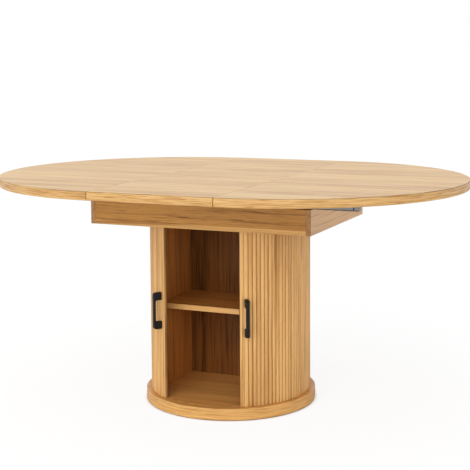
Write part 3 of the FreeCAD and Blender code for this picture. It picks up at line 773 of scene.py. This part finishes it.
def seam_corner(x, y, start):
    """A seam's slot where it meets the rim, and how its points move for the easing.

    start is the angle from +X, in degrees, that the outline faces as it reaches the corner. The slot's
    mouth is a small quarter round. Its wall goes straight in and then slants to the seam. All its
    points move in from the rim together, so that they keep their order.
    """
    turn = np.radians(start + np.linspace(0, 90, SEAM_CORNER_POINTS))
    out = ways_at(turn)
    side = np.sign(out.sum(axis=0))
    mouth = (x, y) - side * (SEAM_SLOT + SEAM_CORNER, SEAM_CORNER) + SEAM_CORNER * out
    wall = (x, y) - side * [(SEAM_SLOT, SEAM_SLOT_DEPTH), (0.0, SEAM_SLOT_DEPTH + SEAM_SLOT)]
    across = np.concatenate([out[:, 0], side[:1], side[:1]]) * SEAM_SHARE
    places = np.concatenate([mouth, wall])
    moves = np.stack([across, np.full(len(across), side[1])], axis=1)
    # Where the outline comes along the seam, the wall's points come before the mouth's
    if abs(out[0, 0]) > 0.5:
        places, moves = np.roll(places, len(wall), axis=0), np.roll(moves, len(wall), axis=0)
        places[:len(wall)] = places[:len(wall)][::-1].copy()
    return places, moves


def top_half():
    """The right half of the top: an arc and a straight seam, eased all round.

    The arc's points move in towards its centre. The seam's edges are eased less than the rim.
    """
    low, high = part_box("top_half_right")
    radius = high.y
    least = math.degrees(math.asin(2 * (SEAM_SLOT + SEAM_CORNER) / radius))
    turn = np.radians(np.linspace(least - 90, 90 - least, BAND_FACES + 1))
    directions = ways_at(turn)
    places = radius * directions + np.array([low.x, 0.0])
    upper, lower = seam_corner(low.x, high.y, 90), seam_corner(low.x, low.y, 180)
    places = np.concatenate([places, upper[0], lower[0]])
    directions = np.concatenate([directions, upper[1], lower[1]])
    insets, heights = round_profile(low.z, high.z, RIM_ROUND)
    plan = eased_plan((places, directions), insets)
    return slab(plan, heights, (1, len(heights) - 2), clear_of_rim_band(places, low.x))


def tongue_middles():
    """Places of the tongues' middles along the seam."""
    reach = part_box("leaf_tongues_right")[1].y - TONGUE_WIDTH / 2
    return np.array(TONGUE_PLACE_SHARES) * reach / TONGUE_PLACE_SHARES[-1]


def leaf():
    """The leaf: a plank with rounded front and back edges and slots in its ends, open below.

    Up to the slots' roof the outline runs into each slot, and above it the same points lie on the
    straight seam.
    """
    low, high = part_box("extension_leaf")
    tongue_low, tongue_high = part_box("leaf_tongues_right")
    half = TONGUE_WIDTH / 2 + TONGUE_CLEARANCE
    deep = tongue_low.x - TONGUE_END_GAP
    roof = tongue_high.z + TONGUE_CLEARANCE
    middles = tongue_middles()
    ys = (middles[:, None] + np.array([-half, -half, half, half])).ravel()
    inner = np.tile([0.0, 1.0, 1.0, 0.0], len(middles))
    lower, upper = seam_corner(high.x, low.y, -90), seam_corner(high.x, high.y, 0)
    side = np.concatenate([lower[0], np.stack([np.full(len(ys), high.x), ys], axis=1), upper[0]])
    across = SEAM_SHARE * (1 - inner)
    ease = np.concatenate([lower[1], np.stack([across, np.zeros(len(ys))], axis=1), upper[1]])
    depth = np.concatenate([np.zeros(len(lower[0])), inner, np.zeros(len(upper[0]))]) * (high.x - deep)
    outline = np.concatenate([side, -side])
    ease = np.concatenate([ease, -ease])
    inward = np.concatenate([-depth, depth])
    insets, heights = round_profile(low.z, high.z, RIM_ROUND)
    middle = len(insets) // 2
    insets = np.insert(insets, middle, [0.0, 0.0])
    heights = np.insert(heights, middle, [roof, roof])
    plan = outline[None] - insets[:, None, None] * ease[None]
    below = np.arange(len(heights)) <= middle
    plan[below, :, 0] += inward
    return slab(plan, heights, (1, len(heights) - 2), clear_of_rim_band(outline, high.x))


def tongues():
    """Flat tongues with tapered tips that stand out of the right half."""
    low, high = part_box("leaf_tongues_right")
    half = TONGUE_WIDTH / 2
    narrow = half - TONGUE_TIP
    corners = [(low.x, -narrow), (low.x + TONGUE_TIP, -half), (high.x, -half)]
    corners += [(x, -y) for x, y in reversed(corners)]
    one = flat_wood(corners, low, high)
    patches = []
    for index, middle in enumerate(tongue_middles()):
        patches += shifted(placed(one, np.eye(3), (0.0, middle, 0.0)), TONGUE_GRAIN_MOVE * index)
    return patches


def plinth():
    """The round base: a rounded rim, a flat floor and the round track for the doors in it."""
    low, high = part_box("plinth")
    track_low, track_high = track_radii()
    floor = high.z - TRACK_DEPTH
    insets, heights = round_profile(low.z, high.z, PLINTH_ROUND)
    lip = EDGE_HOLD
    inner = [track_high + lip, track_high, track_high]
    inner += [track_low, track_low, track_low - lip, track_low - 2 * lip]
    levels = [high.z, high.z - lip, floor, floor, high.z - lip, high.z, high.z]
    radii = np.concatenate([high.x - insets, inner])
    heights = np.concatenate([heights, levels])
    directions = circle_outline(1.0, BAND_FACES)[1]
    return slab(radii[:, None, None] * directions, heights, (1, len(insets) - 2))


def track_radii():
    """Inner and outer radius of the groove that the doors' backing runs in."""
    inner, outer = backing_radii()
    return inner - TRACK_CLEARANCE, outer + TRACK_CLEARANCE


def backing_radii():
    """Inner and outer radius of the doors' backing."""
    front = -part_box("box_bottom_board")[0].y
    outer = front - TRACK_COVER - TRACK_CLEARANCE
    return outer - BACKING_THICKNESS, outer


def bottom_board():
    """The board over the cabinet, with the doors' upper track in its underside.

    Its outline is read at the directions of the rectangle's own points, so the track's circles
    and the rectangle share their columns.
    """
    low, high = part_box("box_bottom_board")
    track_low, track_high = track_radii()
    roof = low.z + TRACK_DEPTH
    corners = np.array([(high.x, high.y), (low.x, high.y), (low.x, low.y), (high.x, low.y)])
    after = np.roll(corners, -1, axis=0)
    steps = BAND_FACES // 4
    shares = np.tan(np.linspace(-1, 1, steps, endpoint=False) * math.pi / 4)[:, None] / 2 + 0.5
    places = (corners[:, None] + shares * (after - corners)[:, None]).reshape(-1, 2)
    sides = np.array([(0.0, 1.0), (-1.0, 0.0), (0.0, -1.0), (1.0, 0.0)])
    directions = np.repeat(sides, steps, axis=0)
    directions[::steps] += np.roll(sides, 1, axis=0)
    rays = places / np.linalg.norm(places, axis=1)[:, None]
    radii = np.array([track_low - EDGE_HOLD, track_low, track_low, track_high, track_high])
    circles = radii[:, None, None] * rays
    insets, heights = round_profile(low.z, high.z, BOARD_ROUND)
    plan = np.concatenate([circles, eased_plan((places, directions), insets)])
    return slab(plan, np.concatenate([[low.z, low.z, roof, roof, low.z], heights]))


def side_panel():
    """The right upright, whose rear end follows the inside of the shell."""
    low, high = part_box("side_panel_right")
    inside = high.x - PANEL_THICKNESS
    seat = math.hypot(inside, high.y)
    rear = math.sqrt(seat**2 - high.x**2)
    return flat_wood([(inside, low.y), (high.x, low.y), (high.x, rear), (inside, high.y)], low, high)


def polar(radius, angle):
    """Points in plan from one radius or a radius for each point, and angles from the front."""
    turn = np.radians(angle)
    return np.stack([radius * np.sin(turn), -radius * np.cos(turn)], axis=-1)


def strip(outer, inner, low, high):
    """Patches of an upright strip between an outer and an inner line of points in plan.

    Along the grain is up, across is the length round the pedestal, and through is the depth.
    """
    loop = np.stack([outer, outer, inner, inner, outer])
    level = np.array([low, high, high, low, low])[:, None, None]
    points = np.concatenate([loop, np.broadcast_to(level, (*loop.shape[:2], 1))], axis=2)
    around = np.broadcast_to(lengths_along(outer), points.shape[:2])
    depth = np.linalg.norm(points[..., :2], axis=2) - np.linalg.norm(outer[0])
    grain = np.stack([around, depth, points[..., 2]], axis=-1)
    ends = [
        (points[:-1, column], grain[:-1, column], [np.arange(4)[None, ::way]], 0)
        for column, way in ((0, 1), (-1, -1))
    ]
    return [grid_patch(points, grain)] + ends


def flute_line(valley, crest, start, pitch, count):
    """A line of flutes in plan, each half an ellipse from valley to valley.

    Round one flute the angle goes as (1 - cos turn) / 2 of the pitch, and the radius rises from
    the valley by sin turn of the flute's depth.
    """
    turn = np.linspace(0, math.pi, FLUTE_POINTS + 1)[:-1]
    angles = start + pitch * (np.arange(count)[:, None] + (1 - np.cos(turn)) / 2)
    radii = np.broadcast_to(valley + (crest - valley) * np.sin(turn), angles.shape)
    angles = np.append(angles.ravel(), start + count * pitch)
    return polar(np.append(radii.ravel(), valley), angles), angles


def door_angle(pitches):
    """The angle at a number of slat pitches from the right door's leading edge."""
    return DOOR_REST_ANGLE + pitches * SLAT_PITCH_ANGLE


def door_strip(start, flutes):
    """A strip of the right door's face with one or more flutes, set in from its neighbours."""
    seat = backing_radii()[1]
    low, high = (corner.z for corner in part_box("door_slats_right"))
    gap = math.degrees(SLAT_GAP / 2 / seat)
    pitch = SLAT_PITCH_ANGLE - 2 * gap / flutes
    outer, angles = flute_line(seat + SLAT_SIDE, DOOR_RADIUS, start + gap, pitch, flutes)
    return strip(outer, polar(seat, angles), low, high)


def slats():
    """The separate slats of the right door, each cut from its own piece of wood.

    The draws move the grain along and across only, because the painted shade in the grooves
    follows the depth through it.
    """
    draws = np.random.default_rng(SLAT_DRAW).uniform(-SLAT_GRAIN_MOVE, SLAT_GRAIN_MOVE, (SLAT_COUNT, 3))
    draws *= (1.0, 0.0, 1.0)
    patches = []
    for index in range(SLAT_COUNT):
        patches += shifted(door_strip(door_angle(STILE_PITCHES + index), 1), draws[index])
    return patches


def backing():
    """The bent cloth sheet behind the right door's slats."""
    low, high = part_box("door_backing_right")
    inner, outer = backing_radii()
    end = door_angle(STILE_PITCHES + SLAT_COUNT)
    angles = np.linspace(DOOR_REST_ANGLE, end, BACKING_STEPS * SLAT_COUNT)
    return strip(polar(outer, angles), polar(inner, angles), low.z, high.z)


def rear_shell():
    """The fixed fluted back of the pedestal."""
    low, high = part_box("rear_shell")
    outer = backing_radii()[0] - DOOR_INNER_GAP
    inner = outer - SHELL_THICKNESS
    start = (SLAT_COUNT + STILE_PITCHES) * SLAT_PITCH_ANGLE - SHELL_LAP_ANGLE
    arc = 2 * (180.0 - start)
    count = round(arc / SLAT_PITCH_ANGLE)
    line, angles = flute_line(outer - FLUTE_DEPTH, outer, start, arc / count, count)
    return strip(line, polar(inner, angles), low.z, high.z)


def handle_axes():
    """Directions out from the right door, up, and along it, at the crest of the stile's last flute."""
    turn = math.radians(door_angle(STILE_PITCHES - 0.5))
    out = np.array([math.sin(turn), -math.cos(turn), 0.0])
    up = np.array([0.0, 0.0, 1.0])
    return out, up, np.cross(out, up)


def bow_corners(foot, grip, low, high):
    """Corners of the bow's outline, drawn out from the door and up."""
    inside = grip - HANDLE_BAR
    corners = [(foot, low), (grip, low), (grip, high), (foot, high)]
    corners += [(foot, high - HANDLE_FOOT), (inside, high - HANDLE_FOOT)]
    return corners + [(inside, low + HANDLE_FOOT), (foot, low + HANDLE_FOOT)]


def handle():
    """The right door's flat bow handle, rounded outside and inside its bends."""
    low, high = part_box("door_handle_right")
    out, up, beside = handle_axes()
    foot = backing_radii()[1] + SLAT_SIDE
    grip = (high.x - HANDLE_WIDTH / 2 * abs(beside[0])) / out[0]
    corners = np.array(bow_corners(foot, grip, low.z, high.z))
    end, outer, inner = HANDLE_END, HANDLE_CORNER, HANDLE_INNER_CORNER
    radii = np.array([end, outer, outer, end, end, inner, inner, end])
    outline = rounded_outline(corners, radii, HANDLE_CORNER_STEPS)
    bow = eased_slab(outline, -HANDLE_WIDTH / 2, HANDLE_WIDTH / 2, HANDLE_EDGE)
    return placed(bow, (out, up, beside))


def along_slide(outline, low, high, slot=()):
    """A length of the front right slide from an outline drawn by depth and by height about its middle.

    slot gives the places of a blind slot's two ends. The outline's last four points then lie on the
    face, two at each of the slot's edges, and the inner two of them go in over the slot's length.
    """
    insets, heights = round_profile(low.x, high.x, CHANNEL_EDGE)
    rows = len(insets) // 2
    insets = np.insert(insets, rows, [0.0] * 2 * len(slot))
    heights = np.insert(heights, rows, np.repeat(slot, 2))
    plan = eased_plan(outline, insets)
    plan[rows + 1:rows + 2 * len(slot) - 1, -3:-1, 0] += SLIDE_SHEET / 2
    axes = [(0.0, 1.0, 0.0), (0.0, 0.0, 1.0), (1.0, 0.0, 0.0)]
    return placed(slab(plan, heights), axes, (0.0, low.y, (low.z + high.z) / 2))


def channel():
    """The front right moving channel, bent from sheet.

    It has a slot in its web near the outer end whose floor is black, painted shade, and its lower flange
    is black, painted shadow of the gap under it.
    """
    low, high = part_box("slide_channel_front_right")
    half, back = (high.z - low.z) / 2, high.y - low.y
    inside, lip, lip_face = half - SLIDE_SHEET, half - CHANNEL_LIP, back - SLIDE_SHEET
    lower = [(0.0, -half), (back, -half), (back, -lip)]
    lower += [(lip_face, -lip), (lip_face, -inside), (SLIDE_SHEET, -inside)]
    corners = lower + [(depth, -height) for depth, height in reversed(lower)]
    radii = np.full(len(corners), CHANNEL_EDGE)
    radii[[0, 1, -2, -1]] = CHANNEL_BEND
    places, directions = rounded_outline(corners, radii)
    reach = half - CHANNEL_SLOT_MARGIN
    places = np.concatenate([places, [(0.0, reach), (0.0, reach), (0.0, -reach), (0.0, -reach)]])
    directions = np.concatenate([directions, [(-1.0, 0.0)] * 4])
    end = high.x - CHANNEL_SLOT_PLACE
    start = end - CHANNEL_SLOT_WIDTH
    patches = along_slide((places, directions), low, high, (start, end))
    # The slot's floor in black: painted shade
    hollow = (start - EDGE_HOLD, low.y + EDGE_HOLD, low.z), (end + EDGE_HOLD, low.y + SLIDE_SHEET, high.z)
    # The lower flange in black: painted shadow of the gap under the slide
    gap_shade = (-FAR,) * 3, (FAR, FAR, low.z + CHANNEL_BEND + EDGE_HOLD)
    return refinished(refinished(patches, 1, *hollow), 1, *gap_shade)


def channel_cap():
    """The plastic cap on the outer end of the front right channel."""
    low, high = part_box("channel_trims_right")
    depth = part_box("slide_channel_front_right")[1].y - low.y
    half = (high.z - low.z) / 2
    outline = rounded_outline([(0.0, -half), (depth, -half), (depth, half), (0.0, half)], CHANNEL_BEND)
    return along_slide(outline, low, high)


def make_slides(materials):
    """The four moving channels and the caps on their outer ends."""
    front, cap = channel(), channel_cap()
    back, back_cap = (placed(patches, HALF_TURN) for patches in (front, cap))
    # black_plastic here is painted shade in the slots and under the channels
    finishes = ("slide_steel", "black_plastic")
    dress_pair("slide_channel_front", front, materials, finishes)
    dress("slide_channel_back_left", back, materials, finishes)
    dress("slide_channel_back_right", mirrored(back), materials, finishes)
    dress("channel_trims_right", cap + mirrored(back_cap), materials, ("grey_plastic",))
    dress("channel_trims_left", mirrored(cap) + back_cap, materials, ("grey_plastic",))


def solids(node):
    """The corner points of each separate solid of a node.

    Points at one spot and points joined by an edge take the least number among them until none changes.
    """
    shown = frame["nodes"][node]
    points = np.array([shown.matrix_world @ vertex.co for vertex in shown.data.vertices])
    edges = np.array([edge.vertices[:] for edge in shown.data.edges])
    spots = np.unique(np.round(points * SPOT_STEPS).astype(int), axis=0, return_inverse=True)[1].reshape(-1)
    ends = spots[edges]
    label = np.arange(spots.max() + 1)
    while True:
        least = label.copy()
        for one, other in ((0, 1), (1, 0)):
            np.minimum.at(least, ends[:, one], label[ends[:, other]])
        if (least == label).all():
            break
        label = least
    return [points[label[spots] == number] for number in np.unique(label)]


def bars(node):
    """Start, direction, length and radius of each small bar of a node, from its wider end.

    A bar's axis is the direction whose spread differs from the other two, which are alike: it has the
    greatest spread in a long bar and the least in a flat one.
    """
    found = []
    for points in solids(node):
        points = np.unique(np.round(points, BAR_DECIMALS), axis=0)
        centre = (points.min(axis=0) + points.max(axis=0)) / 2
        spreads, ways = np.linalg.eigh(np.cov((points - centre).T))
        way = ways[:, 2] if spreads[2] * spreads[0] > spreads[1] ** 2 else ways[:, 0]
        place = (points - centre) @ way
        away = np.linalg.norm(points - centre - place[:, None] * way, axis=1)
        middle = (place.min() + place.max()) / 2
        first, last = away[place < middle].max(), away[place > middle].max()
        way = way if first >= last else -way
        length = np.ptp(place)
        found.append((centre - way * length / 2, way, length, max(first, last)))
    return found


def screw(start, way, length, head):
    """A countersunk screw with a cross in its head.

    The cross is a loop whose radius swings four times round, between its arms and its valleys.
    """
    turn = np.linspace(0, 2 * math.pi, ROUND_FACES, endpoint=False)
    ring = ways_at(turn)
    cross = ring * (CROSS_SHARE + CROSS_SWING_SHARE * np.cos(4 * turn))[:, None]
    plan = [CROSS_FLOOR_SHARE * cross, cross, HEAD_FLAT_SHARE * ring, ring]
    plan += [SHANK_SHARE * ring, SHANK_SHARE * ring, POINT_SHARE * ring]
    shank = SHANK_SHARE * head
    depths = [CROSS_DEPTH_SHARE * head, 0.0, 0.0, HEAD_EDGE_SHARE * head]
    depths += [head - shank, length - shank, length]
    return placed(slab(head * np.stack(plan), np.array(depths) - SCREW_RISE), turned_to(way), start)


def rod(start, way, length, radius):
    """A round bar with eased ends."""
    bar = eased_slab(circle_outline(radius, ROUND_FACES), 0.0, length, BAR_ROUND)
    return placed(bar, turned_to(way), start)


def turned_to(way):
    """Three directions at right angles, the last of them the given one."""
    side = np.cross(way, (0.0, 0.0, 1.0) if abs(way[2]) < 0.5 else (1.0, 0.0, 0.0))
    side /= np.linalg.norm(side)
    return np.stack([side, np.cross(way, side), way])


def make_small_parts(materials):
    """Round screws, pins, rollers and glides in the places of the frame's flat-sided ones."""
    for node in slot_of:
        if "screws" in node:
            made = screw
        elif node in ("shelf_pins", "floor_glides", "slide_rollers_left", "slide_rollers_right"):
            made = rod
        else:
            continue
        dress(node, [patch for bar in bars(node) for patch in made(*bar)], materials)


def make_top(materials):
    """The two halves, the leaf and the tongues between them."""
    half = top_half()
    finishes = ("oak_top", "oak_rim")
    dress("top_half_right", half, materials, finishes)
    dress("top_half_left", placed(half, HALF_TURN), materials, finishes)
    dress("extension_leaf", leaf(), materials, finishes)
    dress_pair("leaf_tongues", tongues(), materials)


def make_box(materials):
    """The boards of the box and the battens that carry the rails."""
    for node in ("box_front_board", "box_back_board"):
        dress(node, board(node), materials)
    # The battens are near black: painted shade for the gap under the slides
    for node in ("slide_batten_front", "slide_batten_back"):
        dress(node, board(node), materials, ("oak_dark",))
    # The ends take a lighter, paler oak: painted sheen and light
    for node, side in (("box_side_left", -1.0), ("box_side_right", 1.0)):
        low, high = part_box(node)
        patches = fronted(board(node), node)
        face = high.x if side > 0 else low.x
        for across, up in END_SCREW_SHARES:
            place = (face, across * (high.y - low.y), low.z + up * (high.z - low.z))
            head = screw(place, np.array((-side, 0.0, 0.0)), END_SCREW_LENGTH, END_SCREW_HEAD)
            patches += [(*patch[:3], 2) for patch in head]
        dress(node, patches, materials, ("oak_end", "oak_end_edge", "screw_steel"), along="Y")
    # The bottom board's front edge is lighter: painted light
    bottom = fronted(bottom_board(), "box_bottom_board")
    dress("box_bottom_board", bottom, materials, ("oak_box", "oak_strip"))


def make_cabinet(materials):
    """The plinth, the uprights, the shelf and the fixed shell."""
    dress("plinth", plinth(), materials, ("oak_plinth", "oak_plinth_rim"))
    # The uprights take a lighter copy of the inner oak: painted light
    dress_pair("side_panel", side_panel(), materials, ("oak_panel",), along="Z")
    dress("inner_back_panel", board("inner_back_panel"), materials, along="Z")
    # The shelf's front edge is a lighter oak: painted light
    dress("shelf", fronted(board("shelf"), "shelf"), materials, ("oak_shelf", "oak_shelf_edge"))
    dress("rear_shell", rear_shell(), materials, along="Z", sharp=FLUTE_SMOOTH_ANGLE)


def make_doors(materials):
    """Both doors: backing, slats, stile and handle, the left ones mirrored."""
    stile = door_strip(DOOR_REST_ANGLE, STILE_PITCHES)
    dress_pair("door_backing", backing(), materials, along="Z")
    dress_pair("door_slats", slats(), materials, along="Z", sharp=FLUTE_SMOOTH_ANGLE)
    dress_pair("door_stile", stile, materials, along="Z", sharp=FLUTE_SMOOTH_ANGLE)
    dress_pair("door_handle", handle(), materials)


def paint_frame(materials):
    """Give the nodes that stay as they are the material of their slot."""
    for node, shown in frame["nodes"].items():
        shown.data.materials.clear()
        shown.data.materials.append(materials[slot_of[node]])


def make_camera():
    """The photograph's viewpoint, fitted to the outline of the top, the box and the pedestal."""
    upright = np.array([0.0, 0.0, 1.0])
    ahead = np.array([-math.sin(CAMERA_YAW), math.cos(CAMERA_YAW), 0.0])
    right = np.array([math.cos(CAMERA_YAW), math.sin(CAMERA_YAW), 0.0])
    look = ahead * math.cos(CAMERA_PITCH) - upright * math.sin(CAMERA_PITCH)
    up = ahead * math.sin(CAMERA_PITCH) + upright * math.cos(CAMERA_PITCH)
    side = right * math.cos(CAMERA_ROLL) - up * math.sin(CAMERA_ROLL)
    top = right * math.sin(CAMERA_ROLL) + up * math.cos(CAMERA_ROLL)
    data = bpy.data.cameras.new("camera")
    data.lens = CAMERA_LENS
    data.shift_y = CAMERA_SHIFT / PHOTO_WIDTH
    camera = bpy.data.objects.new("camera", data)
    turned = Matrix([side, top, -look]).transposed().to_4x4()
    camera.matrix_world = Matrix.Translation(CAMERA_PLACE) @ turned
    bpy.context.scene.collection.objects.link(camera)
    bpy.context.scene.camera = camera


def sun(name, azimuth, elevation, strength, spread, mirrored_in_gloss=True):
    """A soft sun that shines from an angle round the table and a height above the floor."""
    data = bpy.data.lights.new(name, "SUN")
    data.energy = strength
    data.angle = math.radians(spread)
    made = bpy.data.objects.new(name, data)
    turn, rise = math.radians(azimuth), math.radians(elevation)
    away = (math.sin(turn) * math.cos(rise), -math.cos(turn) * math.cos(rise), math.sin(rise))
    made.rotation_mode = "QUATERNION"
    made.rotation_quaternion = Vector(away).to_track_quat("Z", "Y")
    made.visible_glossy = mirrored_in_gloss
    bpy.context.scene.collection.objects.link(made)


def make_room():
    """A room that lights the table softly, and is white to the camera and in reflections."""
    world = bpy.data.worlds.new("studio")
    bpy.context.scene.world = world
    world.use_nodes = True
    tree = world.node_tree
    tree.nodes.clear()
    path = put(tree, "LightPath")
    shown = maths(tree, "MAXIMUM", path.outputs["Is Camera Ray"], path.outputs["Is Glossy Ray"])
    strength = put(tree, "MapRange", {"Value": shown, "To Min": ROOM_LIGHT, "To Max": 1.0}).outputs[0]
    light = put(tree, "Background", {"Color": WHITE, "Strength": strength})
    put(tree, "OutputWorld", {"Surface": light.outputs[0]})
    sun("key", azimuth=10.0, elevation=18.0, strength=1.4, spread=55.0, mirrored_in_gloss=False)
    sun("top_light", azimuth=-20.0, elevation=68.0, strength=0.9, spread=70.0)
    bpy.context.scene.view_settings.view_transform = "Standard"


def make_floor():
    """A pale floor that keeps the table's shadow, and glows to the camera away from where it is touched."""
    reach = FLOOR_REACH
    corners = [(-reach, -reach, 0.0), (reach, -reach, 0.0), (reach, reach, 0.0), (-reach, reach, 0.0)]
    mesh = bpy.data.meshes.new("floor")
    mesh.from_pydata(corners, [], [(0, 1, 2, 3)])
    floor = bpy.data.objects.new("floor", mesh)
    bpy.context.scene.collection.objects.link(floor)
    made, tree, shader = new_material("floor")
    fill(tree, shader, {"Base Color": FLOOR_SHADE, "Roughness": 0.9, "Specular IOR Level": 0.0})
    path = put(tree, "LightPath")
    glow = put(tree, "Emission", {"Color": WHITE, "Strength": GLOW_STRENGTH})
    share = maths(tree, "MULTIPLY", path.outputs["Is Camera Ray"], FLOOR_GLOW)
    near = put(tree, "AmbientOcclusion", {"Distance": CONTACT_REACH}, samples=CONTACT_SAMPLES).outputs["AO"]
    share = maths(tree, "MULTIPLY", share, ranged(tree, near, 0.2, 0.8))
    both = put(tree, "MixShader", {0: share, 1: shader.outputs[0], 2: glow.outputs[0]})
    fill(tree, tree.nodes["Material Output"], {"Surface": both.outputs[0]})
    mesh.materials.append(made)


make_camera()
make_room()
make_floor()
materials = make_materials()
paint_frame(materials)
make_top(materials)
make_box(materials)
make_cabinet(materials)
make_doors(materials)
make_slides(materials)
make_small_parts(materials)
